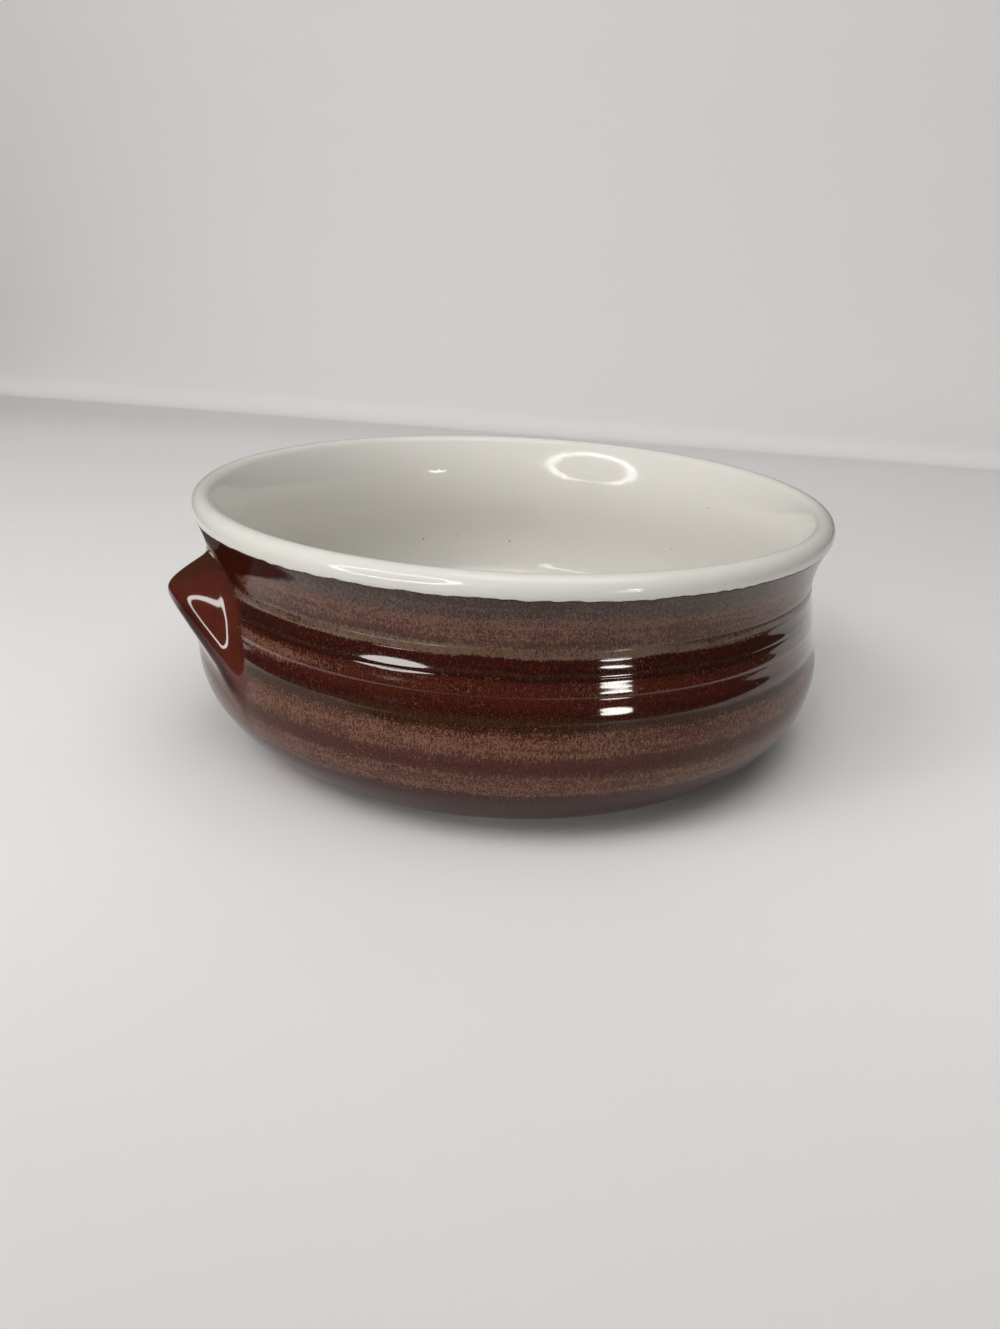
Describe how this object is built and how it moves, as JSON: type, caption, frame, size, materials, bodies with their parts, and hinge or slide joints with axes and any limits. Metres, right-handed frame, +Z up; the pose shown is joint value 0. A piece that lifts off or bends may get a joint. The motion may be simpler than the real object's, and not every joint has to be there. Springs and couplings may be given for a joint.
{
  "type": "soup crock",
  "caption": "Low round stoneware soup crock with a rolled white-glazed rim and liner, a ribbed red-brown glazed outside and lug handles on opposite sides.",
  "frame": {"origin": "centre of the foot, on the surface that the crock stands on", "axes": "+Z up along the axis of the bowl, +X through the right lug, so that the lugs lie along X"},
  "size_m": [0.163, 0.1508, 0.0561],
  "materials": {
    "stoneware": "bare fired clay, matt",
    "white_glaze": "gloss",
    "brown_glaze": "gloss with mottled bands"
  },
  "bodies": {
    "root": {"crock_body": "stoneware", "liner_glaze": "white_glaze", "outer_glaze": "brown_glaze", "base_glaze": "brown_glaze", "left_lug": "brown_glaze", "right_lug": "brown_glaze", "left_slip_joint": "stoneware", "right_slip_joint": "stoneware"}
  },
  "joints": []
}
